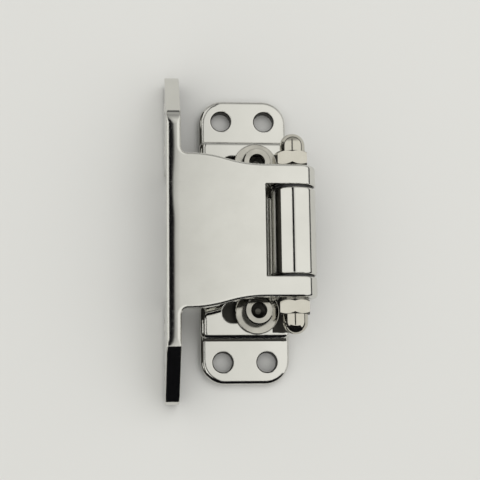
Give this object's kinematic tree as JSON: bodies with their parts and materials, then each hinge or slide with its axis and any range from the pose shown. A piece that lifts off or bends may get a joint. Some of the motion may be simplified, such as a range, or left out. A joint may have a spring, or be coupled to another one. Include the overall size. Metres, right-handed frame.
{
  "type": "freezer door hinge",
  "caption": "Polished steel edge-mount hinge for a freezer door: slotted knuckle carrier clamped on a base plate, and a door leaf with an eared flange that swings on a pin with cap nuts.",
  "frame": {"origin": "centre of the base plate's back face, on the mounting surface", "axes": "+Z out of the mounting surface, +Y along the hinge pin, +X from the door flange to the pin"},
  "size_m": [0.067, 0.15, 0.0355],
  "materials": {
    "polished_casting": "mirror-polished cast stainless steel",
    "polished_hardware": "polished stainless fasteners and pin",
    "bush_plastic": "natural acetal"
  },
  "bodies": {
    "base": {"base_plate": "polished_casting", "upper_clamp_screw": "polished_hardware", "lower_clamp_screw": "polished_hardware", "upper_clamp_washer": "polished_hardware", "lower_clamp_washer": "polished_hardware"},
    "carrier": {"knuckle_carrier": "polished_casting", "upper_bush": "bush_plastic", "lower_bush": "bush_plastic"},
    "leaf": {"door_leaf": "polished_casting", "hinge_pin": "polished_hardware", "upper_cap_nut": "polished_hardware", "lower_cap_nut": "polished_hardware"}
  },
  "joints": [
    {"name": "adjust_slide", "type": "slide", "parent": "base", "child": "carrier", "axis": [1, 0, 0], "range_m": [0, 0.009]},
    {"name": "door_swing", "type": "hinge", "parent": "carrier", "child": "leaf", "pos_m": [0.0205, 0, 0.0255], "axis": [0, 1, 0], "range_deg": [0, 180]}
  ]
}
